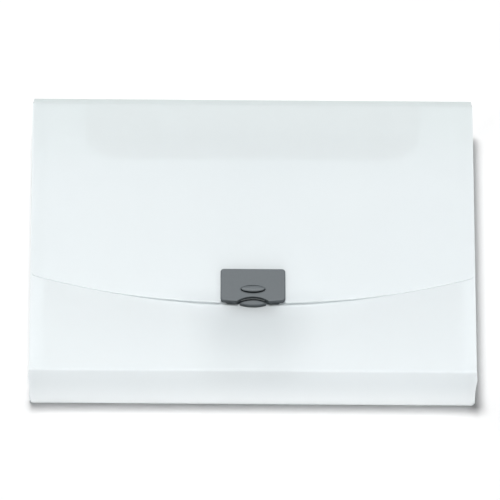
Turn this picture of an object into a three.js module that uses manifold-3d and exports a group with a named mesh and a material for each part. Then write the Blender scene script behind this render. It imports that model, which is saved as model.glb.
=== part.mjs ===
// Snap document case: a die-cut frosted polypropylene sheet folded into a shallow box, with a
// full-width flap and a moulded press-button clasp. It lies on its back: X runs along the width,
// +Y to the hinged top edge, +Z out of the front. The origin is under the middle of the back.
// All sizes are in millimetres.
import * as THREE from "three";
import { mergeVertices } from "three/addons/utils/BufferGeometryUtils.js";
import Module from "manifold-3d";

const wasm = await Module();
wasm.setup();

// Case
const caseWidth = 330;
const caseHeight = 240;
const caseDepth = 47;
const sheet = 0.8;
const creaseRadius = 1.6;
const glueFilm = 0.05;
const creaseBead = 0.78;
const creaseGap = 0.3;

// Walls
const glueTabWidth = 10;
const cornerTabLength = 22;
const cornerTabInset = 3;
const cornerTabCut = 6;
const bottomFlare = 0.8;
const bottomFlareDrop = 10;
const bottomTaper = 2.5;
const lidInset = 0.7;

// Access cut-out in the front panel
const accessWidth = 250;
const accessDepth = 54;
const accessCornerRadius = 25;
const accessMouthRadius = 8;
const frontCornerRadius = 3;

// Flap
const flapInset = 1;
const flapCentreReach = 182.5;
const flapSideReach = 157.5;
const flapCornerCurve = 3;
const flapRestGap = 0.3;
const flapBulgeWidth = 120;

// Clasp
const coverWidth = 48;
const coverHeight = 29;
const coverThickness = 2.6;
const coverCornerRadius = 2.5;
const coverBow = 1.2;
const coverBevel = 0.7;
const coverWall = 1.3;
const coverBelowFlap = 0.5;
const platformMargin = 1;
const backplateRaise = 1;
const archWidth = 25.5;
const archRise = 4.5;
const lipReach = 1.4;
const lipFrontRadius = 30;
const lipGap = 1.5;
const lipHeight = 3.2;
const lipBevel = 0.5;
const buttonWidth = 17.8;
const buttonHeight = 5.3;
const buttonProud = 0.6;
const buttonBevel = 0.7;
const buttonWall = 1.2;
const buttonGap = 0.4;
const buttonPressGap = 1.4;
const buttonAboveArch = 6.85;
const runningGap = 0.3;
const tongueWidth = 20;
const tongueLength = 16.6;
const tongueThickness = 1.2;
const tongueRoot = 10.4;
const backplateWidth = 44;
const backplateHeight = 24;
const backplateThickness = 0.8;
const catchWidth = 40;
const catchHeight = 26.4;
const catchBottomInset = 1.2;
const catchCornerRadius = 2;
const trayDepth = 2;
const trayFloor = 0.8;
const archWallInset = 0.2;

// Staked pins that hold each moulding to the sheet
const pinRadius = 1.4;
const pinHoleGap = 0.2;
const pinHeadRadius = 1.9;
const pinHeadThickness = 0.35;
const coverPinSpacingX = 36;
const coverPinSpacingY = 17;
const catchPinSpacingX = 32;
const catchPinSpacingY = 18;
const pinBossRadius = 2.5;

// Steps along the curves
const cornerSteps = 6;
const cutOutSteps = 10;
const ovalSteps = 20;
const flapArcSteps = 60;
const fingerArcSteps = 120;
const flapStepsAcross = 12;
const flapStepsAlong = 14;

// How far a cutting solid runs past the face it cuts
const past = 1;

// Levels and places that follow from the sizes
const halfWidth = caseWidth / 2;
const halfHeight = caseHeight / 2;
const frontInner = caseDepth - sheet;
const hingeY = halfHeight - sheet;
const lidPivotZ = sheet;
const flapPivotZ = caseDepth + flapRestGap;
const panelTop = hingeY - sheet - creaseGap;
const panelBottom = -halfHeight + creaseRadius + glueFilm;
const flapLowestY = halfHeight - flapCentreReach;
const flapSideY = halfHeight - flapSideReach;
const coverBottomY = flapLowestY - coverBelowFlap;
const claspY = coverBottomY + coverHeight / 2;
const coverFootTopY = coverBottomY + coverBow + coverWall;
const backplateY = claspY + backplateRaise;
const catchY = coverBottomY + catchBottomInset + catchHeight / 2;
const catchBottomZ = caseDepth + glueFilm;
const catchTopZ = catchBottomZ + tongueThickness;
const platformZ = catchTopZ + runningGap + backplateThickness + glueFilm;
const coverBottomZ = platformZ + sheet + glueFilm;
const coverTopZ = coverBottomZ + coverThickness;
const archTopY = coverBottomY + archRise;
const buttonY = archTopY + buttonAboveArch;
const tongueTopY = buttonY + tongueRoot;
const pinHoleRadius = pinRadius + pinHoleGap;
const archRadius = (archWidth ** 2 / 4 + archRise ** 2) / (2 * archRise);
const archCentreY = archTopY - archRadius;

const material = (color, roughness, metalness = 0) =>
  new THREE.MeshStandardMaterial({ color, roughness, metalness });
const frosted = material(0xe6eef0, 0.45);
const moulded = material(0x6f7477, 0.5);
const mouldedInside = material(0x62676a, 0.6);

// Solids, joined and cut

function solidOf(geometry) {
  const bare = geometry.index ? geometry.toNonIndexed() : geometry.clone();
  bare.deleteAttribute("normal");
  bare.deleteAttribute("uv");
  const merged = mergeVertices(bare, 1e-4);
  const triVerts = new Uint32Array(merged.index.array);
  const vertProperties = merged.attributes.position.array;
  return new wasm.Manifold(new wasm.Mesh({ numProp: 3, vertProperties, triVerts }));
}

function geometryOf(solid) {
  const { vertProperties, triVerts } = solid.getMesh();
  const geometry = new THREE.BufferGeometry();
  geometry.setAttribute("position", new THREE.BufferAttribute(vertProperties, 3));
  geometry.setIndex(new THREE.BufferAttribute(triVerts, 1));
  geometry.computeVertexNormals();
  return geometry;
}

function block(x0, x1, y0, y1, z0, z1) {
  const geometry = new THREE.BoxGeometry(x1 - x0, y1 - y0, z1 - z0);
  return solidOf(geometry.translate((x0 + x1) / 2, (y0 + y1) / 2, (z0 + z1) / 2));
}

// An outline in X and Y, raised from z0 to z1.
function raised(shape, z0, z1, curveSegments = cornerSteps) {
  const options = { depth: z1 - z0, bevelEnabled: false, curveSegments };
  return solidOf(new THREE.ExtrudeGeometry(shape, options).translate(0, 0, z0));
}

// The same, with a rounded upper edge.
function raisedRound(shape, z0, z1, bevel, curveSegments = cornerSteps) {
  const options = {
    depth: z1 - z0 - bevel,
    bevelThickness: bevel,
    bevelSize: bevel,
    bevelOffset: -bevel,
    bevelSegments: 3,
    curveSegments,
  };
  const rounded = new THREE.ExtrudeGeometry(shape, options).translate(0, 0, z0);
  const reach = caseWidth;
  return solidOf(rounded).subtract(block(-reach, reach, -reach, reach, z0 - 2 * bevel, z0));
}

// A profile in Y and Z, swept along X.
function sweptAlongX(shape, x0, x1) {
  const options = { depth: x1 - x0, bevelEnabled: false, curveSegments: cornerSteps };
  const geometry = new THREE.ExtrudeGeometry(shape, options).translate(0, 0, x0);
  const turn = new THREE.Matrix4().makeBasis(
    new THREE.Vector3(0, 1, 0),
    new THREE.Vector3(0, 0, 1),
    new THREE.Vector3(1, 0, 0),
  );
  return solidOf(geometry.applyMatrix4(turn));
}

// A profile in X and Z, swept along Y.
function sweptAlongY(shape, y0, y1) {
  const options = { depth: y1 - y0, bevelEnabled: false, curveSegments: cornerSteps };
  const geometry = new THREE.ExtrudeGeometry(shape, options);
  return solidOf(geometry.rotateX(Math.PI / 2).translate(0, y1, 0));
}

function pin(x, y, z0, z1, radius, segments = 16) {
  const geometry = new THREE.CylinderGeometry(radius, radius, z1 - z0, segments);
  return solidOf(geometry.rotateX(Math.PI / 2).translate(x, y, (z0 + z1) / 2));
}

// A wide disc: its edge is the curve of the finger arch.
function disc(centreY, radius, z0, z1) {
  return pin(0, centreY, z0, z1, radius, fingerArcSteps);
}

// A rod along X. Its flats face the sheet that joins it, so that no corner lies in a face.
function rod(radius, length) {
  const sides = 16;
  const geometry = new THREE.CylinderGeometry(radius, radius, length, sides);
  return solidOf(geometry.rotateZ(Math.PI / 2).rotateX(Math.PI / sides));
}

function ellipse(centreY, width, height) {
  return new THREE.Shape().absellipse(0, centreY, width / 2, height / 2, 0, 2 * Math.PI);
}

// Outlines

function roundedRectangle(width, height, centreY, radius) {
  const [right, top, bottom] = [width / 2, centreY + height / 2, centreY - height / 2];
  const shape = new THREE.Shape();
  shape.moveTo(-right + radius, bottom);
  shape.lineTo(right - radius, bottom);
  shape.absarc(right - radius, bottom + radius, radius, -Math.PI / 2, 0);
  shape.absarc(right - radius, top - radius, radius, 0, Math.PI / 2);
  shape.absarc(-right + radius, top - radius, radius, Math.PI / 2, Math.PI);
  shape.absarc(-right + radius, bottom + radius, radius, Math.PI, 1.5 * Math.PI);
  return shape;
}

// The cover's outline: its lower edge bows downwards, as the flap's edge does.
function coverOutline(inset) {
  const right = coverWidth / 2 - inset;
  const top = coverBottomY + coverHeight - inset;
  const corner = coverBottomY + coverBow + inset;
  const radius = coverCornerRadius - inset;
  const shape = new THREE.Shape();
  shape.moveTo(-right + radius, corner);
  shape.quadraticCurveTo(0, corner - 2 * coverBow, right - radius, corner);
  shape.absarc(right - radius, corner + radius, radius, -Math.PI / 2, 0);
  shape.absarc(right - radius, top - radius, radius, 0, Math.PI / 2);
  shape.absarc(-right + radius, top - radius, radius, Math.PI / 2, Math.PI);
  shape.absarc(-right + radius, corner + radius, radius, Math.PI, 1.5 * Math.PI);
  return shape;
}

// The flap: straight sides and one long shallow arc across the front.
function flapOutline(topY) {
  const half = halfWidth - flapInset;
  const drop = flapSideY - flapLowestY;
  const radius = (half ** 2 + drop ** 2) / (2 * drop);
  const centreY = flapLowestY + radius;
  const arcEnd = half - flapCornerCurve;
  const angle = Math.asin(arcEnd / radius);
  const arcEndY = centreY - radius * Math.cos(angle);
  const shape = new THREE.Shape();
  shape.moveTo(half, topY);
  shape.lineTo(-half, topY);
  shape.lineTo(-half, flapSideY + flapCornerCurve);
  shape.quadraticCurveTo(-half, flapSideY, -arcEnd, arcEndY);
  shape.absarc(0, centreY, radius, -Math.PI / 2 - angle, -Math.PI / 2 + angle, false);
  shape.quadraticCurveTo(half, flapSideY, half, flapSideY + flapCornerCurve);
  return shape;
}

// The front panel, with the wide shallow cut-out that lets fingers reach the papers.
function frontOutline() {
  const access = accessWidth / 2;
  const floor = halfHeight - accessDepth;
  const [inner, mouth] = [accessCornerRadius, accessMouthRadius];
  const corner = frontCornerRadius;
  const shape = new THREE.Shape();
  shape.moveTo(-halfWidth, panelBottom);
  shape.lineTo(halfWidth, panelBottom);
  shape.absarc(halfWidth - corner, panelTop - corner, corner, 0, Math.PI / 2);
  shape.absarc(access + mouth, panelTop - mouth, mouth, Math.PI / 2, Math.PI);
  shape.absarc(access - inner, floor + inner, inner, 0, -Math.PI / 2, true);
  shape.absarc(-access + inner, floor + inner, inner, -Math.PI / 2, -Math.PI, true);
  shape.absarc(-access - mouth, panelTop - mouth, mouth, 0, Math.PI / 2);
  shape.absarc(-halfWidth + corner, panelTop - corner, corner, Math.PI / 2, Math.PI);
  return shape;
}

// A folded channel: a web with a rounded crease at its foot and its head. Across is measured
// from the middle of the case outwards; side is 1 or -1.
function channel(side, webOuter, footEnd, headEnd, headZ) {
  const [outer, inner] = [creaseRadius, creaseRadius - sheet];
  const centre = webOuter - outer;
  const [down, out, up] = side > 0 ? [-0.5, 0, 0.5] : [-0.5, -1, -1.5];
  const clockwise = side < 0;
  const arc = (z, r, from, to, back) =>
    shape.absarc(side * centre, z, r, from * Math.PI, to * Math.PI, back);
  const shape = new THREE.Shape();
  shape.moveTo(side * footEnd, 0);
  arc(outer, outer, down, out, clockwise);
  arc(headZ - outer, outer, out, up, clockwise);
  shape.lineTo(side * headEnd, headZ);
  shape.lineTo(side * headEnd, headZ - sheet);
  arc(headZ - outer, inner, up, out, !clockwise);
  arc(outer, inner, out, down, !clockwise);
  shape.lineTo(side * footEnd, sheet);
  return shape;
}

// Staked pins

function pinPlaces(spacingX, spacingY, centreY) {
  return [-1, 1].flatMap((sx) =>
    [-1, 1].map((sy) => [(sx * spacingX) / 2, centreY + (sy * spacingY) / 2]),
  );
}

function drilled(solid, places, z0, z1, radius) {
  return places.reduce((left, [x, y]) => left.subtract(pin(x, y, z0, z1, radius)), solid);
}

function withPins(solid, places, headZ, topZ) {
  return places.reduce(
    (made, [x, y]) =>
      made
        .add(pin(x, y, headZ, topZ, pinRadius))
        .add(pin(x, y, headZ, headZ + pinHeadThickness, pinHeadRadius)),
    solid,
  );
}

const coverPins = pinPlaces(coverPinSpacingX, coverPinSpacingY, backplateY);
const catchPins = pinPlaces(catchPinSpacingX, catchPinSpacingY, catchY);
const counterbore = pinHeadThickness + 2 * glueFilm;

// Sheet panels

function backPanel() {
  const side = halfWidth - creaseRadius - glueFilm;
  return block(-side, side, panelBottom, panelTop, 0, sheet);
}

function frontPanel() {
  const [low, high] = [frontInner - past, caseDepth + past];
  const panel = raised(frontOutline(), frontInner, caseDepth, cutOutSteps);
  return drilled(panel.subtract(tongueWell(low, high)), catchPins, low, high, pinHoleRadius);
}

function sideWall(side) {
  const profile = channel(
    side,
    halfWidth,
    halfWidth - creaseRadius,
    halfWidth - glueTabWidth,
    frontInner - glueFilm,
  );
  return sweptAlongY(profile, panelBottom, panelTop);
}

// The bottom wall is widest a little below the front crease, and narrows towards the back.
function bottomWall() {
  const end = halfHeight - creaseRadius;
  const wide = halfWidth + bottomFlare;
  const wall = sweptAlongX(channel(-1, halfHeight, end, end, caseDepth), -wide, wide);
  const trim = new THREE.Shape();
  const foot = wide - bottomTaper;
  trim.moveTo(-foot, 0);
  trim.lineTo(foot, 0);
  trim.lineTo(wide, caseDepth - bottomFlareDrop);
  trim.lineTo(halfWidth, caseDepth);
  trim.lineTo(-halfWidth, caseDepth);
  trim.lineTo(-wide, caseDepth - bottomFlareDrop);
  return wall.intersect(sweptAlongY(trim, -halfHeight - past, -halfHeight + 2 * creaseRadius));
}

// The ear at each end of the bottom wall, folded in and glued flat against the side wall.
function cornerTab(side) {
  const start = -halfHeight + sheet + glueFilm;
  const [low, high] = [cornerTabInset, frontInner - cornerTabInset];
  const shape = new THREE.Shape();
  shape.moveTo(start, low);
  shape.lineTo(start + cornerTabLength, low + cornerTabCut);
  shape.lineTo(start + cornerTabLength, high - cornerTabCut);
  shape.lineTo(start, high);
  const outer = halfWidth - sheet - glueFilm;
  const [x0, x1] = side > 0 ? [outer - sheet, outer] : [-outer, sheet - outer];
  return sweptAlongX(shape, x0, x1);
}

// Each lid panel turns about a round bead that stands for its crease.
function lidPanel() {
  const half = halfWidth - lidInset;
  const height = flapPivotZ - lidPivotZ - sheet - creaseGap;
  return block(-half, half, 0, sheet, 0, height).add(rod(creaseBead, 2 * half));
}

// How far the flap stands up at a place: it lies flat at the crease and the sides, and rides
// over the clasp on a level platform at its lower edge.
function flapLift(x, y) {
  const flatHalf = coverWidth / 2 + platformMargin;
  const flatTop = claspY + coverHeight / 2 + platformMargin;
  const across = THREE.MathUtils.clamp((Math.abs(x) - flatHalf) / (flapBulgeWidth - flatHalf), 0, 1);
  const along = THREE.MathUtils.clamp((y - flatTop) / (hingeY - flatTop), 0, 1);
  const ease = (t) => 0.5 + 0.5 * Math.cos(Math.PI * t);
  return (platformZ - flapPivotZ) * ease(across) * ease(along);
}

// A slab of the sheet's thickness that follows flapLift.
function liftedSlab() {
  const flatHalf = coverWidth / 2 + platformMargin;
  const flatTop = claspY + coverHeight / 2 + platformMargin;
  const steps = (from, to, count) =>
    Array.from({ length: count }, (_, i) => from + ((to - from) * i) / count);
  const rightHalf = [
    ...steps(flatHalf, flapBulgeWidth, flapStepsAcross),
    flapBulgeWidth,
    halfWidth + creaseGap,
  ];
  const xs = [...rightHalf.map((x) => -x).reverse(), ...rightHalf];
  const ys = [flapLowestY - creaseGap, ...steps(flatTop, hingeY, flapStepsAlong), hingeY];
  const across = xs.length;
  const positions = [];
  for (const top of [0, sheet]) {
    for (const y of ys) {
      for (const x of xs) positions.push(x, y, flapPivotZ + flapLift(x, y) + top);
    }
  }
  const layer = across * ys.length;
  const index = [];
  const quad = (a, b, c, d) => index.push(a, b, c, a, c, d);
  for (let j = 0; j < ys.length - 1; j++) {
    for (let i = 0; i < across - 1; i++) {
      const at = j * across + i;
      quad(at, at + across, at + across + 1, at + 1);
      quad(layer + at, layer + at + 1, layer + at + across + 1, layer + at + across);
    }
  }
  const rim = [];
  for (let i = 0; i < across - 1; i++) rim.push(i);
  for (let j = 0; j < ys.length - 1; j++) rim.push(j * across + across - 1);
  for (let i = across - 1; i > 0; i--) rim.push((ys.length - 1) * across + i);
  for (let j = ys.length - 1; j > 0; j--) rim.push(j * across);
  rim.forEach((from, k) => {
    const to = rim[(k + 1) % rim.length];
    quad(from, to, layer + to, layer + from);
  });
  const geometry = new THREE.BufferGeometry();
  geometry.setAttribute("position", new THREE.Float32BufferAttribute(positions, 3));
  geometry.setIndex(index);
  return solidOf(geometry);
}

function flapPanel() {
  const [low, high] = [flapPivotZ - past, coverTopZ];
  const outline = raised(flapOutline(halfHeight), low, high, flapArcSteps);
  const window = raised(windowOutline(runningGap), low, high, ovalSteps);
  const panel = liftedSlab().intersect(outline).subtract(window).subtract(archCut(low, high));
  const footRoom = coverFoot(glueFilm, low, high);
  const bead = rod(creaseBead, caseWidth - 2 * flapInset).translate([0, hingeY, flapPivotZ]);
  return drilled(panel.subtract(footRoom), coverPins, low, high, pinHoleRadius).add(bead);
}

// Clasp mouldings

// The window that the button stands up through. It has more room below, where the button
// swings to when it is pressed.
function windowOutline(extra) {
  const height = buttonHeight + buttonGap + buttonPressGap + 2 * extra;
  const centreY = buttonY + (buttonGap - buttonPressGap) / 2;
  return ellipse(centreY, buttonWidth + 2 * (buttonGap + extra), height);
}

// The finger arch in the lower edge of the cover, the flap and the backplate.
function archCut(z0, z1) {
  return disc(archCentreY, archRadius, z0, z1);
}

// The strip of the cover that closes the flap's lower edge.
function coverFoot(room, z0, z1) {
  const half = coverWidth / 2 + room;
  return block(-half, half, coverBottomY - past, coverFootTopY + room, z0, z1);
}

function claspCover() {
  const shell = raisedRound(coverOutline(0), coverBottomZ, coverTopZ, coverBevel);
  const footOutline = raised(coverOutline(0), platformZ, coverBottomZ);
  const foot = footOutline.intersect(coverFoot(0, platformZ, coverBottomZ));
  const roof = coverTopZ - coverWall;
  const collarTop = roof + coverWall / 2;
  const [low, high] = [coverBottomZ - past, coverTopZ + past];
  const hollow = raised(coverOutline(coverWall), low, roof);
  const collar = raised(windowOutline(coverWall), coverBottomZ, collarTop, ovalSteps);
  const archWall = disc(archCentreY, archRadius + coverWall, coverBottomZ, collarTop);
  const inside = raised(coverOutline(archWallInset), coverBottomZ, coverTopZ - coverBevel);
  let cover = shell.subtract(hollow).add(foot).add(collar).add(archWall.intersect(inside));
  for (const [x, y] of coverPins) cover = cover.add(pin(x, y, coverBottomZ, roof, pinBossRadius));
  cover = cover.subtract(raised(windowOutline(0), low, high, ovalSteps));
  cover = cover.subtract(archCut(low, high));
  return withPins(cover, coverPins, platformZ - backplateThickness, coverBottomZ);
}

function claspBackplate() {
  const top = platformZ - glueFilm;
  const bottom = top - backplateThickness;
  const [low, high] = [bottom - past, top + past];
  const outline = roundedRectangle(backplateWidth, backplateHeight, backplateY, catchCornerRadius);
  let plate = raised(outline, bottom, top).subtract(archCut(low, high));
  plate = plate.subtract(raised(windowOutline(runningGap), low, high, ovalSteps));
  plate = drilled(plate, coverPins, low, high, pinRadius + glueFilm);
  return drilled(plate, coverPins, low, bottom + counterbore, pinHeadRadius + pinHoleGap);
}

// The slot in the catch, the front panel and the tray that the spring tongue bends through.
function tongueWell(z0, z1) {
  const half = tongueWidth / 2 + buttonGap;
  const bottom = tongueTopY - tongueLength - buttonGap;
  return block(-half, half, bottom, tongueTopY + buttonGap, z0, z1);
}

// A wide disc whose upper edge is chamfered.
function chamferedDisc(centreY, radius, z0, z1) {
  const chamfer = new THREE.CylinderGeometry(radius - lipBevel, radius, lipBevel, fingerArcSteps);
  chamfer.rotateX(Math.PI / 2).translate(0, centreY, z1 - lipBevel / 2);
  return disc(centreY, radius, z0, z1 - lipBevel).add(solidOf(chamfer));
}

// The thumb lip: a lens that stands in the finger arch and bows out below it.
function lensLip() {
  const top = catchBottomZ + lipHeight;
  const frontCentreY = coverBottomY - lipReach + lipFrontRadius;
  const upper = chamferedDisc(archCentreY, archRadius - lipGap, catchBottomZ, top);
  return upper.intersect(chamferedDisc(frontCentreY, lipFrontRadius, catchBottomZ, top));
}

function catchBase() {
  const outline = roundedRectangle(catchWidth, catchHeight, catchY, catchCornerRadius);
  const plate = raised(outline, catchBottomZ, catchTopZ).add(lensLip());
  const base = plate.subtract(tongueWell(catchBottomZ - past, catchTopZ + past));
  return withPins(base, catchPins, frontInner - trayDepth, catchTopZ - glueFilm);
}

function catchTray() {
  const top = frontInner - glueFilm;
  const bottom = top - trayDepth;
  const [low, high] = [bottom - past, top + past];
  const outline = roundedRectangle(catchWidth, catchHeight, catchY, catchCornerRadius);
  const tray = raised(outline, bottom, top).subtract(tongueWell(bottom + trayFloor, high));
  const opened = drilled(tray, catchPins, low, high, pinRadius + glueFilm);
  return drilled(opened, catchPins, low, bottom + counterbore, pinHeadRadius + pinHoleGap);
}

// The spring tongue and the oval button on it. The button is hollow, as a moulding is.
function catchButton() {
  const half = tongueWidth / 2;
  const bottom = tongueTopY - tongueLength;
  const tongue = block(-half, half, bottom, tongueTopY, catchBottomZ, catchTopZ);
  const top = coverTopZ + buttonProud;
  const oval = ellipse(buttonY, buttonWidth, buttonHeight);
  const boss = raisedRound(oval, catchBottomZ, top, buttonBevel, ovalSteps);
  const core = ellipse(buttonY, buttonWidth - 2 * buttonWall, buttonHeight - 2 * buttonWall);
  const hollow = raised(core, catchBottomZ - past, top - buttonWall, ovalSteps);
  return tongue.add(boss).subtract(hollow);
}

// Assembly

function part(name, solid, finish, origin = [0, 0, 0]) {
  const [x, y, z] = origin;
  const mesh = new THREE.Mesh(geometryOf(solid).translate(-x, -y, -z), finish);
  mesh.name = name;
  return mesh;
}

const lidPivot = [0, hingeY, lidPivotZ];
const flapPivot = [0, hingeY, flapPivotZ];
const buttonPivot = [0, tongueTopY - glueFilm, (catchBottomZ + catchTopZ) / 2];

const body = new THREE.Group();
body.add(
  part("back_panel", backPanel(), frosted),
  part("bottom_wall", bottomWall(), frosted),
  part("front_panel", frontPanel(), frosted),
  part("left_side_wall", sideWall(-1), frosted),
  part("right_side_wall", sideWall(1), frosted),
  part("left_corner_tab", cornerTab(-1), frosted),
  part("right_corner_tab", cornerTab(1), frosted),
  part("catch_base", catchBase(), moulded),
  part("catch_tray", catchTray(), mouldedInside),
);

const button = new THREE.Group();
button.position.set(...buttonPivot);
button.add(part("catch_button", catchButton(), moulded, buttonPivot));

const flap = new THREE.Group();
flap.position.set(0, 0, flapPivotZ - lidPivotZ);
flap.add(
  part("flap", flapPanel(), frosted, flapPivot),
  part("clasp_cover", claspCover(), moulded, flapPivot),
  part("clasp_backplate", claspBackplate(), mouldedInside, flapPivot),
);

const lid = new THREE.Group();
lid.position.set(...lidPivot);
lid.add(part("lid_panel", lidPanel(), frosted), flap);

const documentCase = new THREE.Group();
documentCase.add(body, button, lid);

export default documentCase;
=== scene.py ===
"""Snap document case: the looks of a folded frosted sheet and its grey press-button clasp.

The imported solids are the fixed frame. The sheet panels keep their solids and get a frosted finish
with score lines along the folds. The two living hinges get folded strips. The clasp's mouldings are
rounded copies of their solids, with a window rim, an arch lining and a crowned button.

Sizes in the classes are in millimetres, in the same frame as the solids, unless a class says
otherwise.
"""

from __future__ import annotations

import logging
import math
from collections.abc import Callable, Iterable, Sequence
from dataclasses import dataclass
from enum import Enum

import bmesh
import bpy
from mathutils import Matrix, Vector

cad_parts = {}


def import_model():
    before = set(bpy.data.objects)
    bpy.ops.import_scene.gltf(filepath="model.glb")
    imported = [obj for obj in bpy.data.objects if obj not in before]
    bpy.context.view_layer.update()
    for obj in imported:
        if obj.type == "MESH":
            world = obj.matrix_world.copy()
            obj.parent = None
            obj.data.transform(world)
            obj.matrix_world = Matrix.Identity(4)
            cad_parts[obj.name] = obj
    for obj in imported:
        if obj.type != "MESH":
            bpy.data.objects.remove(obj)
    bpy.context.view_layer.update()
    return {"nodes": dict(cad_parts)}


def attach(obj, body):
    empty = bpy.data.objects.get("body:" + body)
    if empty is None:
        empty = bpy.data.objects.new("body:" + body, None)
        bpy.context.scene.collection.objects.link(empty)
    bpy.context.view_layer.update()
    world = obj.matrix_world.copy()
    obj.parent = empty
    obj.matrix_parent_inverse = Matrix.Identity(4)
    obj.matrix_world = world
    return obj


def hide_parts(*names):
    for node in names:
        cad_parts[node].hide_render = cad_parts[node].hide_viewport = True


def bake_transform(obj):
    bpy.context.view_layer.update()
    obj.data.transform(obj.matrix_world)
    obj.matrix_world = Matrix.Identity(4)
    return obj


log = logging.getLogger("document_case")

MM = 0.001
Triple = tuple[float, float, float]
Colour = Triple
Span = tuple[float, float]

# The values that most of a noise pattern lies between, and nearly all of it
MOST_NOISE: Span = (0.35, 0.65)
NEARLY_ALL_NOISE: Span = (0.3, 0.7)

# The Mix node's sockets for colours, whose names are the same for every kind of value
MIX_INPUTS = (0, 6, 7)
MIX_RESULT = 2

# How far apart points are merged, in millimetres
MERGE_REACH = 0.01
STRIP_MERGE_REACH = 0.001

# Angles between faces, in degrees: flat enough to join, and sharp enough to round
FLAT_ANGLE = 1.0
SHARP_ANGLE = 50.0

# A face is level, and is shaded flat, where this share of its normal points up or down
LEVEL_SHARE = 0.9995


class Axis(Enum):
    """A direction of the case's own frame."""

    X = 0
    Y = 1
    Z = 2


class Body(Enum):
    """The bodies that the pieces ride on."""

    CASE = "case"
    BUTTON = "button"
    LID = "lid"
    FLAP = "flap"


class Slot(Enum):
    """The record's material slots."""

    SHEET = "frosted_sheet"
    MOULDING = "clasp_moulding"
    INSIDE = "clasp_inside"


# Materials


class Graph:
    """The nodes of one material, or of the room's world, built a step at a time."""

    def __init__(self, owner: bpy.types.Material | bpy.types.World) -> None:
        """Start with no node but the output.

        Args:
            owner: The new material or world.
        """
        self.owner = owner
        self.owner.use_nodes = True
        self.tree = self.owner.node_tree
        self.tree.nodes.clear()
        a_world = isinstance(owner, bpy.types.World)
        self.output = self.add("ShaderNodeOutputWorld" if a_world else "ShaderNodeOutputMaterial")
        self.place = self.add("ShaderNodeTexCoord").outputs["Object"]

    def add(self, kind: str, **settings: object) -> bpy.types.Node:
        """Add a node.

        Args:
            kind: The node's type name.
            settings: Values for the node's own properties.

        Returns:
            The new node.
        """
        node = self.tree.nodes.new(kind)
        for key, value in settings.items():
            setattr(node, key, value)
        return node

    def feed(self, socket: bpy.types.NodeSocket, value: object) -> None:
        """Link a socket to another one, or set it.

        Args:
            socket: The input to fill.
            value: An output socket, or a plain value.
        """
        if isinstance(value, bpy.types.NodeSocket):
            self.tree.links.new(value, socket)
        else:
            socket.default_value = value

    def math(self, operation: str, *values: object) -> bpy.types.NodeSocket:
        """Work out one number.

        Args:
            operation: The Math node's operation.
            values: Its inputs, as sockets or numbers.

        Returns:
            The result's socket.
        """
        node = self.add("ShaderNodeMath", operation=operation)
        for socket, value in zip(node.inputs, values):
            self.feed(socket, value)
        return node.outputs[0]

    def spread(
        self, value: object, start: Span, end: Span, smooth: bool = False
    ) -> bpy.types.NodeSocket:
        """Map a value from one range to another, and keep it there.

        Args:
            value: The number to map.
            start: The range that it comes from.
            end: The range that it goes to.
            smooth: Whether the ends ease in and out.

        Returns:
            The mapped value's socket.
        """
        node = self.add("ShaderNodeMapRange")
        node.interpolation_type = "SMOOTHSTEP" if smooth else "LINEAR"
        for name, number in zip(("From Min", "From Max", "To Min", "To Max"), (*start, *end)):
            node.inputs[name].default_value = number
        self.feed(node.inputs["Value"], value)
        return node.outputs["Result"]

    def noise(
        self, scale: float, detail: float = 3.0, stretch: Triple = (1.0, 1.0, 1.0)
    ) -> bpy.types.NodeSocket:
        """Make a noise pattern fixed to the piece.

        Args:
            scale: How many features there are to a metre.
            detail: How many finer layers it has.
            stretch: The scale along each axis.

        Returns:
            The pattern's value, about 0.5 on average.
        """
        mapping = self.add("ShaderNodeMapping")
        mapping.inputs["Scale"].default_value = stretch
        self.feed(mapping.inputs["Vector"], self.place)
        node = self.add("ShaderNodeTexNoise")
        node.inputs["Scale"].default_value = scale
        node.inputs["Detail"].default_value = detail
        self.feed(node.inputs["Vector"], mapping.outputs["Vector"])
        return node.outputs["Fac"]

    def blended(self, factor: object, first: object, second: object) -> bpy.types.NodeSocket:
        """Mix two colours.

        Args:
            factor: 0 for the first and 1 for the second.
            first: A colour or a socket.
            second: A colour or a socket.

        Returns:
            The mixed colour's socket.
        """
        node = self.add("ShaderNodeMix", data_type="RGBA")
        for place, value in zip(MIX_INPUTS, (factor, first, second)):
            self.feed(node.inputs[place], value)
        return node.outputs[MIX_RESULT]

    def layered(
        self, factor: float, under: bpy.types.ShaderNode, over: bpy.types.ShaderNode
    ) -> bpy.types.Node:
        """Mix two shaders.

        Args:
            factor: The second one's share.
            under: The first shader.
            over: The second shader.

        Returns:
            The mixing node.
        """
        node = self.add("ShaderNodeMixShader")
        node.inputs[0].default_value = factor
        self.feed(node.inputs[1], under.outputs[0])
        self.feed(node.inputs[2], over.outputs[0])
        return node

    def relief(self, height: object, depth: float) -> bpy.types.NodeSocket:
        """Turn a height pattern into a bumped normal.

        Args:
            height: The pattern's socket.
            depth: The height that a full step stands for, in millimetres.

        Returns:
            The normal's socket.
        """
        node = self.add("ShaderNodeBump")
        node.inputs["Strength"].default_value = 1.0
        node.inputs["Distance"].default_value = depth * MM
        self.feed(node.inputs["Height"], height)
        return node.outputs["Normal"]

    def coordinate(self, axis: Axis) -> bpy.types.NodeSocket:
        """Give the place along one axis of the case's frame.

        Args:
            axis: The axis.

        Returns:
            The place's socket, in metres.
        """
        node = self.add("ShaderNodeSeparateXYZ")
        self.feed(node.inputs[0], self.place)
        return node.outputs[axis.value]

    def facing(self, axis: Axis) -> bpy.types.NodeSocket:
        """Give how squarely the surface faces along one axis.

        Args:
            axis: The axis.

        Returns:
            A value of 1 where it faces straight along the axis, and 0 where it is square to it.
        """
        node = self.add("ShaderNodeSeparateXYZ")
        self.feed(node.inputs[0], self.add("ShaderNodeTexCoord").outputs["Normal"])
        return self.math("ABSOLUTE", node.outputs[axis.value])

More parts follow.
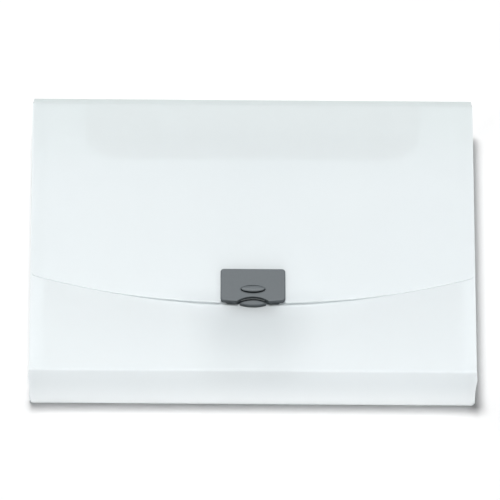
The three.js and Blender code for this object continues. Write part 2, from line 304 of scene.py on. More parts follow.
    def band(self, axis: Axis, middle: float, reach: float) -> bpy.types.NodeSocket:
        """Mark a soft line across the piece.

        Args:
            axis: The axis that the line is square to.
            middle: Where it is along that axis, in millimetres.
            reach: How far it fades out on each side, in millimetres.

        Returns:
            A value of 1 on the line and 0 away from it.
        """
        off = self.math("SUBTRACT", self.coordinate(axis), middle * MM)
        away = self.math("ABSOLUTE", off)
        return self.spread(away, (0.0, reach * MM), (1.0, 0.0), smooth=True)


def opaque(colour: Sequence[float]) -> tuple[float, float, float, float]:
    """Give a colour with full cover."""
    return (colour[0], colour[1], colour[2], 1.0)


@dataclass(frozen=True)
class ScoreLine:
    """A soft line across a panel, such as a fold's score line. It fades out at its reach."""

    axis: Axis
    middle: float
    reach: float = 1.6


@dataclass(frozen=True)
class PaintedShadePatch:
    """A patch of painted shade round and below the clasp, where the clasp shades the sheet.

    It is strongest at its near end and within its core. It fades out at its far end, at its reach
    and a little beyond its near end, where the flap covers the sheet.
    """

    axis: Axis
    near: float
    far: float
    covered: float
    core: float
    reach: float
    strength: float
    colour: Colour
    mottle_scale: float = 30.0
    mottle: Span = (0.85, 1.0)

    def mask(self, graph: Graph) -> bpy.types.NodeSocket:
        """Mark the patch.

        Args:
            graph: The material that it goes into.

        Returns:
            How strongly it shows.
        """
        away = graph.math("ABSOLUTE", graph.coordinate(Axis.X))
        across = graph.spread(away, (self.core * MM, self.reach * MM), (1.0, 0.0), smooth=True)
        place = graph.coordinate(self.axis)
        down = graph.spread(place, (self.far * MM, self.near * MM), (0.0, self.strength), smooth=True)
        up = graph.spread(place, (self.near * MM, self.covered * MM), (1.0, 0.0), smooth=True)
        uneven = graph.spread(graph.noise(self.mottle_scale), NEARLY_ALL_NOISE, self.mottle)
        along = graph.math("MULTIPLY", down, up)
        return graph.math("MULTIPLY", graph.math("MULTIPLY", across, along), uneven)


@dataclass(frozen=True)
class FrostedSheet:
    """Frosted polypropylene: a milky, satin sheet that passes soft light.

    Its grain is the fine matt pattern that the rollers press into one face, and its streaks run the
    way the sheet was drawn. The folds are made whiter where the score has stretched it. The flap is
    darker and a little greener towards its hinge, as painted shade. The bottom wall is a darker copy
    of the sheet as painted shade, with a groove whose whiter colour is a painted highlight and a wide
    band of painted light that makes it brighter towards its foot. Patches of painted shade darken the
    sheet round and below the clasp. Where a flat panel is cut, its edge is darker: the sheet's own
    colour shows deeper there, and the edge is painted as shade too.
    """

    name: str = "frosted_sheet"
    tint: Colour = (0.86, 0.894, 0.905)
    cloudy: Colour = (0.836, 0.872, 0.888)
    # Whiter colour of stretched folds, also the painted light at the bottom wall's foot and on its
    # groove
    whiteness_and_painted_light: Colour = (0.965, 0.982, 0.988)
    # Painted shade towards the hinge: a darker, greener copy of the tint
    painted_hinge_shade: Colour = (0.798, 0.841, 0.843)
    # Cut edges: the sheet's own deeper edge colour, darkened further as painted shade
    cut: Colour = (0.74, 0.78, 0.785)
    passing: Colour = (0.957, 0.975, 0.98)
    translucency: float = 0.4
    clearness: float = 0.2
    refraction: float = 1.49
    roughness: float = 0.42
    streak_scale: float = 60.0
    streak_detail: float = 4.0
    streak_stretch: Triple = (1.0, 0.03, 1.0)
    streak_roughness: float = 0.05
    streak_height: float = 0.3
    grain_scale: float = 2600.0
    grain_detail: float = 2.0
    grain_depth: float = 0.012
    cloud_scale: float = 9.0
    cloud_detail: float = 2.0
    cloud_strength: float = 0.5
    fold_smoothing: float = 0.12
    fold_depth: float = 6.0
    # How much whiter a fold is: real stress whiteness, and a painted highlight on the bottom wall's
    # groove
    fold_whitening_and_highlight: float = 0.7
    cut_edge_shade_facing: Span = (0.3, 0.8)
    score_lines: tuple[ScoreLine, ...] = ()
    # A wide band of painted light
    painted_light_band: ScoreLine | None = None
    # Patches of painted shade round and below the clasp
    patches: tuple[PaintedShadePatch, ...] = ()
    hinge: ScoreLine | None = None
    flat_along: Axis | None = None

    def material(self) -> bpy.types.Material:
        """Build the material.

        Returns:
            The finished material.
        """
        graph = Graph(bpy.data.materials.new(self.name))
        streaks = graph.noise(self.streak_scale, self.streak_detail, self.streak_stretch)
        fold = self.folds(graph)
        surface = graph.add("ShaderNodeBsdfPrincipled")
        graph.feed(surface.inputs["Base Color"], self.colour(graph, fold))
        change = (-self.streak_roughness, self.streak_roughness)
        rough = graph.math("ADD", graph.spread(streaks, NEARLY_ALL_NOISE, change), self.roughness)
        grain = graph.noise(self.grain_scale, self.grain_detail)
        height = graph.math("ADD", graph.math("MULTIPLY", streaks, self.streak_height), grain)
        if fold is not None:
            smoother = graph.math("MULTIPLY", fold, self.fold_smoothing)
            rough = graph.math("SUBTRACT", rough, smoother)
            lower = graph.math("MULTIPLY", fold, self.fold_depth)
            height = graph.math("SUBTRACT", height, lower)
        graph.feed(surface.inputs["Roughness"], rough)
        graph.feed(surface.inputs["Normal"], graph.relief(height, self.grain_depth))
        surface.inputs["IOR"].default_value = self.refraction
        through = graph.add("ShaderNodeBsdfTranslucent")
        through.inputs["Color"].default_value = opaque(self.passing)
        clear = graph.add("ShaderNodeBsdfTransparent")
        milky = graph.layered(self.translucency, surface, through)
        sheet = graph.layered(self.clearness, milky, clear)
        graph.feed(graph.output.inputs["Surface"], sheet.outputs[0])
        return graph.owner

    def colour(self, graph: Graph, fold: bpy.types.NodeSocket | None) -> bpy.types.NodeSocket:
        """Mix the sheet's colour: its tint, clouds and folds, and the painted light and shade on it.

        Args:
            graph: The material that it goes into.
            fold: A value of 1 on a fold, or None for a panel without one.

        Returns:
            The colour's socket.
        """
        cloud = graph.noise(self.cloud_scale, self.cloud_detail)
        clouded = graph.spread(cloud, MOST_NOISE, (0.0, self.cloud_strength))
        colour = graph.blended(clouded, opaque(self.tint), opaque(self.cloudy))
        # Painted shade, darker towards the hinge
        if self.hinge is not None:
            painted_hinge_shade = graph.band(self.hinge.axis, self.hinge.middle, self.hinge.reach)
            colour = graph.blended(painted_hinge_shade, colour, opaque(self.painted_hinge_shade))
        # Painted light, brighter towards the bottom wall's foot
        if self.painted_light_band is not None:
            painted_light_band = graph.band(self.painted_light_band.axis, self.painted_light_band.middle, self.painted_light_band.reach)
            colour = graph.blended(painted_light_band, colour, opaque(self.whiteness_and_painted_light))
        # Folds made whiter: real stress whiteness, and a painted highlight on the bottom wall's
        # groove
        if fold is not None:
            whitening_and_highlight = graph.math("MULTIPLY", fold, self.fold_whitening_and_highlight)
            colour = graph.blended(whitening_and_highlight, colour, opaque(self.whiteness_and_painted_light))
        # Painted shade round and below the clasp
        for patch in self.patches:
            colour = graph.blended(patch.mask(graph), colour, opaque(patch.colour))
        # Cut edges darker: the sheet's deeper edge colour, and painted shade
        if self.flat_along is not None:
            edge = graph.spread(graph.facing(self.flat_along), self.cut_edge_shade_facing, (1.0, 0.0))
            colour = graph.blended(edge, colour, opaque(self.cut))
        return colour

    def folds(self, graph: Graph) -> bpy.types.NodeSocket | None:
        """Mark the folds that this panel has.

        Args:
            graph: The material that they go into.

        Returns:
            A value of 1 on a fold, or None for a panel without one.
        """
        marked = None
        for line in self.score_lines:
            band = graph.band(line.axis, line.middle, line.reach)
            marked = band if marked is None else graph.math("MAXIMUM", marked, band)
        return marked


@dataclass(frozen=True)
class MouldedPlastic:
    """Grey moulded plastic with a fine spark-eroded grain, rubbed paler in patches and streaks."""

    name: str
    colour: Colour
    rubbed: Colour
    roughness: float = 0.46
    refraction: float = 1.5
    mottle_scale: float = 420.0
    mottle_detail: float = 4.0
    mottle_share: float = 0.25
    mottle_roughness: float = 0.08
    flow_scale: float = 70.0
    flow_detail: float = 2.0
    flow_stretch: Triple = (1.0, 0.25, 1.0)
    flow_share: float = 0.1
    grain_scale: float = 3600.0
    grain_depth: float = 0.012

    def material(self) -> bpy.types.Material:
        """Build the material.

        Returns:
            The finished material.
        """
        graph = Graph(bpy.data.materials.new(self.name))
        spots = graph.noise(self.mottle_scale, self.mottle_detail)
        mottle = graph.spread(spots, MOST_NOISE, (0.0, 1.0))
        runs = graph.noise(self.flow_scale, self.flow_detail, self.flow_stretch)
        flow = graph.spread(runs, MOST_NOISE, (0.0, 1.0))
        worn = graph.math(
            "ADD",
            graph.math("MULTIPLY", mottle, self.mottle_share),
            graph.math("MULTIPLY", flow, self.flow_share),
        )
        colour = graph.blended(worn, opaque(self.colour), opaque(self.rubbed))
        surface = graph.add("ShaderNodeBsdfPrincipled")
        graph.feed(surface.inputs["Base Color"], colour)
        uneven = graph.math("MULTIPLY", mottle, self.mottle_roughness)
        rough = graph.math("ADD", uneven, self.roughness)
        graph.feed(surface.inputs["Roughness"], rough)
        surface.inputs["IOR"].default_value = self.refraction
        grain = graph.noise(self.grain_scale)
        graph.feed(surface.inputs["Normal"], graph.relief(grain, self.grain_depth))
        graph.feed(graph.output.inputs["Surface"], surface.outputs[0])
        return graph.owner


def paint(piece: bpy.types.Object, material: bpy.types.Material) -> None:
    """Give a piece one material.

    Args:
        piece: The object to dress.
        material: What it is made of.
    """
    piece.data.materials.clear()
    piece.data.materials.append(material)


# Mesh work


def edges_of(geometry: Iterable[object]) -> list[bmesh.types.BMEdge]:
    """Pick the edges out of an operator's result."""
    return [item for item in geometry if isinstance(item, bmesh.types.BMEdge)]


def points_of(geometry: Iterable[object]) -> list[bmesh.types.BMVert]:
    """Pick the vertices out of an operator's result."""
    return [item for item in geometry if isinstance(item, bmesh.types.BMVert)]


def faces_of(geometry: Iterable[object]) -> list[bmesh.types.BMFace]:
    """Pick the faces out of an operator's result."""
    return [item for item in geometry if isinstance(item, bmesh.types.BMFace)]


def rounded(
    bm: bmesh.types.BMesh, edges: Sequence[bmesh.types.BMEdge], width: float, steps: int
) -> None:
    """Round some edges.

    Args:
        bm: The mesh that they are in.
        edges: The edges to round.
        width: How far back the rounding starts, in millimetres.
        steps: How many faces it has.
    """
    bmesh.ops.bevel(
        bm,
        geom=list(edges),
        offset=width * MM,
        offset_type="OFFSET",
        segments=steps,
        profile=0.5,
        affect="EDGES",
        clamp_overlap=True,
        material=-1,
    )


def piece_from(bm: bmesh.types.BMesh, name: str, sharp: float = 35.0) -> bpy.types.Object:
    """Make a finished object from a mesh whose points are in the case's frame.

    Args:
        bm: The mesh, which is freed.
        name: The piece's name.
        sharp: The angle past which an edge stays sharp, in degrees.

    Returns:
        The new object.
    """
    mesh = bpy.data.meshes.new(name)
    bm.to_mesh(mesh)
    bm.free()
    copied = mesh.attributes.get("custom_normal")
    if copied is not None:
        mesh.attributes.remove(copied)
    mesh.shade_smooth()
    mesh.set_sharp_from_angle(angle=math.radians(sharp))
    for face in mesh.polygons:
        face.use_smooth = abs(face.normal.z) < LEVEL_SHARE
    piece = bpy.data.objects.new(name, mesh)
    bpy.context.scene.collection.objects.link(piece)
    log.info("%s: %d faces", name, len(mesh.polygons))
    return piece


def rounded_copy(
    node: bpy.types.Object,
    name: str,
    width: float,
    steps: int,
    chosen: Callable[[bmesh.types.BMEdge], bool],
) -> bpy.types.Object:
    """Copy a solid and round some of its sharp edges.

    Args:
        node: The solid's object.
        name: The new piece's name.
        width: How far back the rounding starts, in millimetres.
        steps: How many faces it has.
        chosen: Says whether a sharp edge is one to round.

    Returns:
        The new piece.
    """
    bm = bmesh.new()
    bm.from_mesh(node.data)
    bmesh.ops.remove_doubles(bm, verts=bm.verts, dist=MERGE_REACH * MM)
    bmesh.ops.dissolve_limit(
        bm,
        angle_limit=math.radians(FLAT_ANGLE),
        verts=bm.verts,
        edges=bm.edges,
        delimit=set(),
    )
    least = math.radians(SHARP_ANGLE)
    sharp = [edge for edge in bm.edges if edge.calc_face_angle(0.0) > least and chosen(edge)]
    rounded(bm, sharp, width, steps)
    bmesh.ops.triangulate(bm, faces=[f for f in bm.faces if len(f.verts) > 4])
    return piece_from(bm, name)


# The folded sheet


@dataclass(frozen=True)
class Crease:
    """A living hinge: half its length, its height and the bodies that it joins."""

    name: str
    half: float
    height: float
    below: Body
    above: Body


@dataclass
class CaseSheet:
    """The die-cut sheet, folded into the case, its lid panel and its flap."""

    height: float = 240.0
    depth: float = 47.0
    thickness: float = 0.8
    crease_radius: float = 1.6
    flap_gap: float = 0.3
    lid_half: float = 164.1
    flap_half: float = 163.9
    strip_proud: float = 0.04
    strip_run: float = 3.2
    strip_steps: int = 3
    arc_steps: int = 8
    bend_reach: float = 0.6
    strip_sharp: float = 60.0
    # How far the painted shade reaches from the hinges
    painted_hinge_shade_reach: float = 88.0
    foot_fold_rise: float = 0.8
    foot_fold_reach: float = 1.6
    head_fold_reach: float = 0.8
    tab_fold_reach: float = 2.0
    # A groove near the bottom wall's foot; its whiter colour is a painted highlight
    wall_highlight_line: ScoreLine = ScoreLine(Axis.Z, middle=4.1, reach=1.7)
    # Painted light: the bottom wall grows brighter towards its foot
    wall_foot_painted_light: ScoreLine = ScoreLine(Axis.Z, middle=-4.0, reach=36.0)
    # The bottom wall's copy of the sheet's colours, darker as painted shade
    wall_painted_shade_tint: Colour = (0.8, 0.83, 0.842)
    wall_painted_shade_cloudy: Colour = (0.78, 0.812, 0.83)
    # The hinge strips' painted shade
    strip_painted_hinge_shade: Colour = (0.695, 0.74, 0.735)
    strip_roughness: float = 0.36
    strip_clearness: float = 0.12
    # Painted shade round and below the clasp: the wide patches, the darkest by the thumb lip, and the
    # bottom wall's
    painted_shade: Colour = (0.695, 0.73, 0.744)
    painted_shade_most: Colour = (0.54, 0.56, 0.57)
    painted_shade_wall: Colour = (0.59, 0.62, 0.63)

    @property
    def hinge_y(self) -> float:
        """Where both living hinges are, along Y."""
        return self.height / 2 - self.thickness

    @property
    def painted_hinge_shade_line(self) -> ScoreLine:
        """Where the sheet is darker towards the hinges, as painted shade."""
        return ScoreLine(Axis.Y, self.height / 2, self.painted_hinge_shade_reach)

    @property
    def front_patches(self) -> tuple[PaintedShadePatch, ...]:
        """Painted shade on the front panel: a wide patch, and a darker one by the thumb lip.

        Returns:
            The two patches.
        """
        wide = PaintedShadePatch(
            Axis.Y,
            near=-75.0,
            far=-140.0,
            covered=-52.0,
            core=12.0,
            reach=56.0,
            strength=1.0,
            colour=self.painted_shade,
        )
        lip = PaintedShadePatch(
            Axis.Y,
            near=-64.0,
            far=-76.0,
            covered=-58.0,
            core=9.0,
            reach=24.0,
            strength=0.9,
            colour=self.painted_shade_most,
        )
        return (wide, lip)

    @property
    def flap_patch(self) -> PaintedShadePatch:
        """The painted shade on the flap, round the clasp's cover.

        Returns:
            The patch.
        """
        return PaintedShadePatch(
            Axis.Y,
            near=-60.0,
            far=-90.0,
            covered=-47.0,
            core=26.0,
            reach=80.0,
            strength=0.6,
            colour=self.painted_shade,
        )

    @property
    def wall_patch(self) -> PaintedShadePatch:
        """Painted shade on the bottom wall below the clasp, where it meets the front panel.

        Returns:
            The patch.
        """
        return PaintedShadePatch(
            Axis.Z,
            near=self.depth,
            far=14.0,
            covered=60.0,
            core=12.0,
            reach=56.0,
            strength=0.4,
            colour=self.painted_shade_wall,
        )

    def dress(self, nodes: dict[str, bpy.types.Object]) -> None:
        """Give each panel its finish, with score lines where it is folded.

        Args:
            nodes: The CAD nodes by name.
        """
        foot, head = self.crease_radius / 2, self.depth - self.crease_radius / 2
        foot_fold = ScoreLine(Axis.Z, foot + self.foot_fold_rise, self.foot_fold_reach)
        folds = (foot_fold, ScoreLine(Axis.Z, head, self.head_fold_reach))
        tab_fold = (ScoreLine(Axis.Y, foot - self.height / 2, self.tab_fold_reach),)
        finishes = {
            "back_panel": FrostedSheet("back_sheet", flat_along=Axis.Z),
            # The front panel carries painted shade below the clasp
            "front_panel": FrostedSheet(
                "front_sheet", patches=self.front_patches, flat_along=Axis.Z
            ),
            # The bottom wall is a darker copy of the sheet as painted shade, with a painted highlight
            # line, painted light towards its foot and painted shade below the clasp
            "bottom_wall": FrostedSheet(
                "bottom_wall_sheet",
                tint=self.wall_painted_shade_tint,
                cloudy=self.wall_painted_shade_cloudy,
                score_lines=(self.wall_highlight_line,),
                painted_light_band=self.wall_foot_painted_light,
                patches=(self.wall_patch,),
            ),
            "left_side_wall": FrostedSheet("left_wall_sheet", score_lines=folds),
            "right_side_wall": FrostedSheet("right_wall_sheet", score_lines=folds),
            "left_corner_tab": FrostedSheet("left_tab_sheet", score_lines=tab_fold),
            "right_corner_tab": FrostedSheet("right_tab_sheet", score_lines=tab_fold),
            "lid_panel": FrostedSheet("lid_sheet", score_lines=folds),
            # The flap carries painted shade towards its hinge and round the clasp
            "flap": FrostedSheet(
                "flap_sheet",
                hinge=self.painted_hinge_shade_line,
                patches=(self.flap_patch,),
                flat_along=Axis.Z,
            ),
        }
        for name, finish in finishes.items():
            paint(nodes[name], finish.material())
            log.info("%s: %s", name, finish.name)

    def hinges(self) -> None:
        """Make the folded strips of the two living hinges, between the bodies that they join."""
        # The strips are darker all over, as the hinges' painted shade
        finish = FrostedSheet(
            "hinge_sheet",
            painted_hinge_shade=self.strip_painted_hinge_shade,
            roughness=self.strip_roughness,
            clearness=self.strip_clearness,
            hinge=self.painted_hinge_shade_line,
        )
        material = finish.material()
        lid = Crease("lid_crease_strip", self.lid_half, self.thickness, Body.CASE, Body.LID)
        flap_height = self.depth + self.flap_gap
        flap = Crease("flap_crease_strip", self.flap_half, flap_height, Body.LID, Body.FLAP)
        for crease in (lid, flap):
            strip = self.strip(crease)
            paint(strip, material)
            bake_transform(strip)

    def strip(self, crease: Crease) -> bpy.types.Object:
        """Make the folded strip of a living hinge: a flat, a quarter turn and a flat.

        Args:
            crease: The hinge that it belongs to.

        Returns:
            The strip.
        """
        reach = self.thickness + self.strip_proud
        pivot = Vector((0, self.hinge_y, crease.height))
        if crease.below is Body.CASE:
            first, last = Vector((0, self.strip_run, 0)), Vector((0, 0, self.strip_run))
            start = pivot - first - Vector((0, 0, reach))
        else:
            first, last = Vector((0, 0, self.strip_run)), Vector((0, -self.strip_run, 0))
            start = pivot - first + Vector((0, reach, 0))
        bm = bmesh.new()
        ends = [bm.verts.new((start + Vector((x, 0, 0))) * MM) for x in (-crease.half, crease.half)]
        edge = self.step(bm, bm.edges.new(ends), first)
        spun = bmesh.ops.spin(
            bm,
            geom=[edge, *edge.verts],
            cent=pivot * MM,
            axis=Vector((1, 0, 0)),
            dvec=Vector((0, 0, 0)),
            angle=math.radians(90.0),
            steps=self.arc_steps,
            use_merge=False,
            use_duplicate=False,
        )
        self.step(bm, edges_of(spun["geom_last"])[0], last)
        bmesh.ops.remove_doubles(bm, verts=bm.verts, dist=STRIP_MERGE_REACH * MM)
        bmesh.ops.recalc_face_normals(bm, faces=bm.faces)
        outward = sum(
            (face.calc_center_median() - pivot * MM).normalized().dot(face.normal)
            for face in bm.faces
        )
        if outward < 0:
            bmesh.ops.reverse_faces(bm, faces=bm.faces)
        full = (self.thickness + 2 * self.strip_proud) * MM
        bmesh.ops.solidify(bm, geom=bm.faces[:], thickness=full)
        bmesh.ops.recalc_face_normals(bm, faces=bm.faces)
        return piece_from(bm, crease.name, self.strip_sharp)

    def step(
        self, bm: bmesh.types.BMesh, edge: bmesh.types.BMEdge, way: Vector
    ) -> bmesh.types.BMEdge:
        """Extrude an edge in a few equal steps.

        Args:
            bm: The mesh.
            edge: The edge to start from.
            way: The whole step, in millimetres.

        Returns:
            The last edge.
        """
        for _ in range(self.strip_steps):
            made = bmesh.ops.extrude_edge_only(bm, edges=[edge])["geom"]
            bmesh.ops.translate(bm, vec=way * MM / self.strip_steps, verts=points_of(made))
            edge = edges_of(made)[0]
        return edge


# The clasp


@dataclass
class Clasp:
    """The press-button clasp: the cover on the flap and the catch on the front panel."""

    cover_top_z: float = 52.85
    lip_top_z: float = 50.25
    arch_radius: float = 20.3125
    arch_centre_y: float = -78.8125
    arch_angle: float = 38.0
    lining_bottom_z: float = 49.4
    lining_height: float = 1.2
    lining_thickness: float = 0.12
    button_y: float = -51.65
    button_width: float = 17.8
    button_height: float = 5.3
    button_bevel: float = 0.95
    button_top_z: float = 53.45
    window_y: float = -52.15
    window_width: float = 18.6
    window_height: float = 7.1
    rim_width: float = 0.55
    rim_height: float = 0.16
    rim_sunk: float = 0.1
    rim_rounding: float = 0.128
    rim_sharp: float = 60.0
    crown_sharp: float = 60.0
    cover_rounding: float = 0.45
    cover_steps: int = 3
    catch_rounding: float = 0.3
    catch_steps: int = 2
    level_slack: float = 0.05
    oval_steps: int = 72

    # Each step up the crown: its share of the last one's size, and its rise in millimetres
    crown_steps: tuple[tuple[float, float], ...] = (
        (1.0, 0.12),
        (0.92, 0.1),
        (0.88, 0.07),
        (0.8, 0.05),
        (0.6, 0.03),
    )
    finish: MouldedPlastic = MouldedPlastic(
        "grey_moulding", colour=(0.0965, 0.113, 0.123), rubbed=(0.12, 0.138, 0.148)
    )
    inside: MouldedPlastic = MouldedPlastic(
        "dark_inside_moulding",
        colour=(0.12, 0.133, 0.14),
        rubbed=(0.15, 0.16, 0.166),
        roughness=0.6,
    )

    def build(self, nodes: dict[str, bpy.types.Object]) -> list[bpy.types.Object]:
        """Build every piece of the clasp.

        Args:
            nodes: The CAD nodes by name.

        Returns:
            The pieces that show.
        """
        grey = self.finish.material()
        dark = self.inside.material()
        for name in ("catch_tray", "clasp_backplate"):
            paint(nodes[name], dark)
        cover = rounded_copy(
            nodes["clasp_cover"],
            "clasp_cover_shell",
            self.cover_rounding,
            self.cover_steps,
            self.from_height(self.cover_top_z),
        )
        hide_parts("clasp_cover")
        base = rounded_copy(
            nodes["catch_base"],
            "catch_base_shell",
            self.catch_rounding,
            self.catch_steps,
            self.from_height(self.lip_top_z),
        )
        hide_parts("catch_base")
        button = rounded_copy(
            nodes["catch_button"],
            "catch_button_shell",
            self.catch_rounding,
            self.catch_steps,
            self.from_height(self.cover_top_z),
        )
        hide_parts("catch_button")
        made = (
            (cover, Body.FLAP),
            (self.window_rim(), Body.FLAP),
            (self.arch_lining(), Body.FLAP),
            (base, Body.CASE),
            (button, Body.BUTTON),
            (self.button_crown(), Body.BUTTON),
        )
        for piece, body in made:
            paint(piece, grey)
            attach(piece, body.value)
        return [piece for piece, _ in made]

    def from_height(self, height: float) -> Callable[[bmesh.types.BMEdge], bool]:
        """Choose the edges that lie at a height or over it.

        Args:
            height: The height, in millimetres.

        Returns:
            A test that says whether an edge is one of them.
        """
        least = (height - self.level_slack) * MM
        return lambda edge: all(point.co.z > least for point in edge.verts)

    def window_rim(self) -> bpy.types.Object:
        """Make the low rim round the button's window: a flat ring, raised and rounded on top.

        Returns:
            The rim.
        """
        bm = bmesh.new()
        bmesh.ops.create_circle(bm, cap_ends=True, segments=self.oval_steps, radius=1.0)
        half_width = self.window_width / 2 + self.rim_width
        half_height = self.window_height / 2 + self.rim_width
        bmesh.ops.scale(bm, vec=Vector((half_width, half_height, 1)) * MM, verts=bm.verts)
        low = self.cover_top_z - self.rim_sunk
        bmesh.ops.translate(bm, vec=Vector((0, self.window_y, low)) * MM, verts=bm.verts)
        middle = bm.faces[:]
        bmesh.ops.inset_region(
            bm,
            faces=middle,
            thickness=self.rim_width * MM,
            use_boundary=True,
            use_even_offset=True,
        )
        bmesh.ops.delete(bm, geom=middle, context="FACES_ONLY")
        flat = bm.faces[:]
        raised = bmesh.ops.extrude_face_region(bm, geom=flat, use_keep_orig=True)["geom"]
        rise = Vector((0, 0, self.rim_height + self.rim_sunk)) * MM
        bmesh.ops.translate(bm, vec=rise, verts=points_of(raised))
        bmesh.ops.recalc_face_normals(bm, faces=bm.faces)
        on_top = self.from_height(self.cover_top_z + self.rim_height)
        least = math.radians(self.rim_sharp)
        brim = [edge for edge in bm.edges if edge.calc_face_angle(0.0) > least and on_top(edge)]
        rounded(bm, brim, self.rim_rounding, self.cover_steps)
        return piece_from(bm, "window_rim")

    def arch_lining(self) -> bpy.types.Object:
        """Make the cover's thin lip that lines the finger arch and hides the sheet's cut edge.

        Returns:
            The lining.
        """
        bm = bmesh.new()
        centre = Vector((0, self.arch_centre_y, self.lining_bottom_z))
        turn = Matrix.Rotation(math.radians(self.arch_angle), 3, "Z")
        start = centre + turn @ Vector((0, self.arch_radius, 0))
        rise = Vector((0, 0, self.lining_height))
        ends = [bm.verts.new(place * MM) for place in (start, start + rise)]
        edge = bm.edges.new(ends)
        bmesh.ops.spin(
            bm,
            geom=[edge, *ends],
            cent=centre * MM,
            axis=Vector((0, 0, -1)),
            angle=math.radians(2 * self.arch_angle),
            steps=self.oval_steps,
            use_merge=False,
            use_duplicate=False,
        )
        bmesh.ops.recalc_face_normals(bm, faces=bm.faces)
        bmesh.ops.solidify(bm, geom=bm.faces[:], thickness=self.lining_thickness * MM)
        bmesh.ops.recalc_face_normals(bm, faces=bm.faces)
        return piece_from(bm, "arch_lining")

    def button_crown(self) -> bpy.types.Object:
        """Make the shallow crown on the press button.

        Returns:
            The crown.
        """
        bm = bmesh.new()
        bmesh.ops.create_circle(bm, cap_ends=True, segments=self.oval_steps, radius=1.0)
        half_width = self.button_width / 2 - self.button_bevel
        half_height = self.button_height / 2 - self.button_bevel
        bmesh.ops.scale(bm, vec=Vector((half_width, half_height, 1)) * MM, verts=bm.verts)
        middle = Vector((0, self.button_y, self.button_top_z - self.rim_sunk)) * MM
        bmesh.ops.translate(bm, vec=middle, verts=bm.verts)
        cap = bm.faces[:]
        for number, (share, rise) in enumerate(self.crown_steps):
            made = bmesh.ops.extrude_face_region(bm, geom=cap, use_keep_orig=number == 0)["geom"]
            points = points_of(made)
            shrink = Vector((share, share, 1.0))
            bmesh.ops.scale(bm, vec=shrink, space=Matrix.Translation(-middle), verts=points)
            bmesh.ops.translate(bm, vec=Vector((0, 0, rise)) * MM, verts=points)
            cap = faces_of(made)
        bmesh.ops.recalc_face_normals(bm, faces=bm.faces)
        return piece_from(bm, "button_crown", self.crown_sharp)


# The studio


@dataclass(frozen=True)
class Lamp:
    """A soft square lamp. Its place and size are in metres and its power is in watts."""

    name: str
    place: Triple
    size: float
    power: float
    sheet_only: bool = False


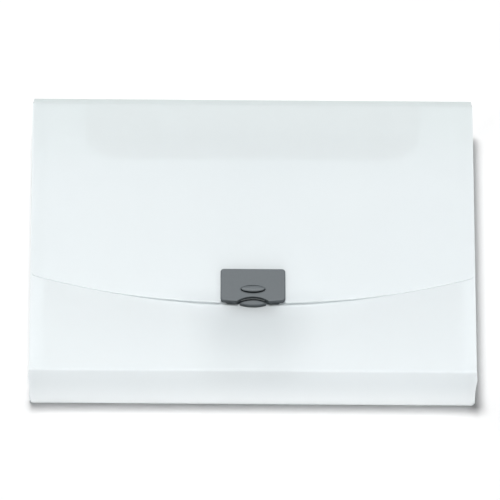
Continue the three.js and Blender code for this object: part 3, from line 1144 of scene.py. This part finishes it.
@dataclass
class Studio:
    """A white floor, soft lamps and a long lens at the photograph's angle.

    The camera's distance, the depth of its view and the floor's half width are in metres, and the
    angles are in degrees.
    """

    elevation: float = 57.0
    azimuth: float = -1.3
    roll: float = 1.5
    distance: float = 6.652
    aim: Triple = (-1.75, 1.53, 23.5)
    face_width: float = 330.0
    face_height: float = 240.0
    face_pixels: float = 442.35
    picture_pixels: float = 500.0
    sensor: float = 36.0
    view_depth: float = 100.0
    floor_half: float = 8.0
    floor_drop: float = 0.6
    floor_shade: float = 0.925
    floor_lift: float = 0.09
    lift_start: float = 8.0
    lift_end: float = 36.0
    fade_lift: float = 0.95
    fade_start: float = 200.0
    fade_end: float = 5000.0
    ambient: float = 0.07
    lamps: tuple[Lamp, ...] = (
        Lamp("overhead_lamp", place=(-0.26, 0.36, 4.0), size=0.86, power=153.5),
        Lamp("front_lamp", place=(0.1, -1.3, 0.22), size=0.8, power=13.8, sheet_only=True),
    )

    def build(self, clasp: Sequence[bpy.types.Object]) -> None:
        """Make the camera, the floor, the world and the lamps.

        Args:
            clasp: The clasp's pieces, which a lamp for the sheet alone leaves out.
        """
        self.camera()
        floor = self.floor()
        self.world()
        for lamp in self.lamps:
            self.hang(lamp, [floor, *clasp])
        bpy.context.scene.view_settings.view_transform = "Standard"

    def camera(self) -> None:
        """Set the camera at the photograph's angle."""
        lens = bpy.data.cameras.new("camera")
        lens.sensor_width = self.sensor
        across = self.face_pixels / self.picture_pixels
        lens.lens = self.sensor * across * self.distance / (self.face_width * MM)
        lens.clip_end = self.view_depth
        camera = bpy.data.objects.new("camera", lens)
        bpy.context.scene.collection.objects.link(camera)
        rise, round_by = math.radians(self.elevation), math.radians(self.azimuth)
        level = math.cos(rise)
        back = Vector((math.sin(round_by) * level, -math.cos(round_by) * level, math.sin(rise)))
        turn = (-back).to_track_quat("-Z", "Y").to_matrix().to_4x4()
        roll = Matrix.Rotation(math.radians(self.roll), 4, "Z")
        place = Vector(self.aim) * MM + back * self.distance
        camera.matrix_world = Matrix.Translation(place) @ turn @ roll
        bpy.context.scene.camera = camera

    def seen(self, graph: Graph) -> bpy.types.NodeSocket:
        """Tell the rays that show the background.

        Args:
            graph: The material or world that asks.

        Returns:
            1 for a camera, glossy or transmission ray, and 0 for light.
        """
        path = graph.add("ShaderNodeLightPath")
        either = graph.math("MAXIMUM", path.outputs["Is Camera Ray"], path.outputs["Is Glossy Ray"])
        return graph.math("MAXIMUM", either, path.outputs["Is Transmission Ray"])

    def floor(self) -> bpy.types.Object:
        """Lay a plain white floor that keeps the case's shadow and stays white where the lamp fades.

        Returns:
            The floor.
        """
        bm = bmesh.new()
        bmesh.ops.create_grid(bm, x_segments=2, y_segments=2, size=self.floor_half)
        bmesh.ops.translate(bm, vec=Vector((0, 0, -self.floor_drop * MM)), verts=bm.verts)
        floor = piece_from(bm, "floor")
        graph = Graph(bpy.data.materials.new("white_floor"))
        matt = graph.add("ShaderNodeBsdfDiffuse")
        matt.inputs["Color"].default_value = opaque((self.floor_shade,) * 3)
        beyond = [
            graph.math("SUBTRACT", graph.math("ABSOLUTE", graph.coordinate(axis)), full / 2 * MM)
            for axis, full in ((Axis.X, self.face_width), (Axis.Y, self.face_height))
        ]
        away = graph.math("MAXIMUM", *beyond)
        span = (self.lift_start * MM, self.lift_end * MM)
        near = graph.spread(away, span, (0.0, self.floor_lift), smooth=True)
        fade = (self.fade_start * MM, self.fade_end * MM)
        far = graph.spread(away, fade, (0.0, self.fade_lift))
        lift = graph.add("ShaderNodeEmission")
        shown = graph.math("MULTIPLY", self.seen(graph), graph.math("ADD", near, far))
        graph.feed(lift.inputs["Strength"], shown)
        both = graph.add("ShaderNodeAddShader")
        graph.feed(both.inputs[0], matt.outputs[0])
        graph.feed(both.inputs[1], lift.outputs[0])
        graph.feed(graph.output.inputs["Surface"], both.outputs[0])
        paint(floor, graph.owner)
        return floor

    def world(self) -> None:
        """Light the room evenly, and show it white."""
        graph = Graph(bpy.data.worlds.new("room"))
        room = graph.add("ShaderNodeBackground")
        room.inputs["Color"].default_value = opaque((1.0, 1.0, 1.0))
        strength = graph.spread(self.seen(graph), (0.0, 1.0), (self.ambient, 1.0))
        graph.feed(room.inputs["Strength"], strength)
        graph.feed(graph.output.inputs["Surface"], room.outputs[0])
        bpy.context.scene.world = graph.owner

    def hang(self, lamp: Lamp, others: Sequence[bpy.types.Object]) -> None:
        """Hang a lamp that points at the case.

        Args:
            lamp: The lamp.
            others: What a lamp for the sheet alone leaves out.
        """
        light = bpy.data.lights.new(lamp.name, "AREA")
        light.size = lamp.size
        light.energy = lamp.power
        hung = bpy.data.objects.new(lamp.name, light)
        bpy.context.scene.collection.objects.link(hung)
        place = Vector(lamp.place)
        turn = (-place).to_track_quat("-Z", "Y").to_matrix().to_4x4()
        hung.matrix_world = Matrix.Translation(place) @ turn
        hung.visible_camera = False
        if lamp.sheet_only:
            left_out = bpy.data.collections.new(f"{lamp.name}_leaves_out")
            for piece in others:
                left_out.objects.link(piece)
            for entry in left_out.collection_objects:
                entry.light_linking.link_state = "EXCLUDE"
            hung.light_linking.receiver_collection = left_out
            hung.visible_glossy = False


def main() -> None:
    """Load the frame, dress it and light it."""
    logging.basicConfig(level=logging.INFO, format="%(name)s %(message)s")
    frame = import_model()
    nodes = frame["nodes"]
    sheet = CaseSheet()
    sheet.dress(nodes)
    sheet.hinges()
    Studio().build(Clasp().build(nodes))
    bpy.context.view_layer.update()


if __name__ == "__main__":
    main()
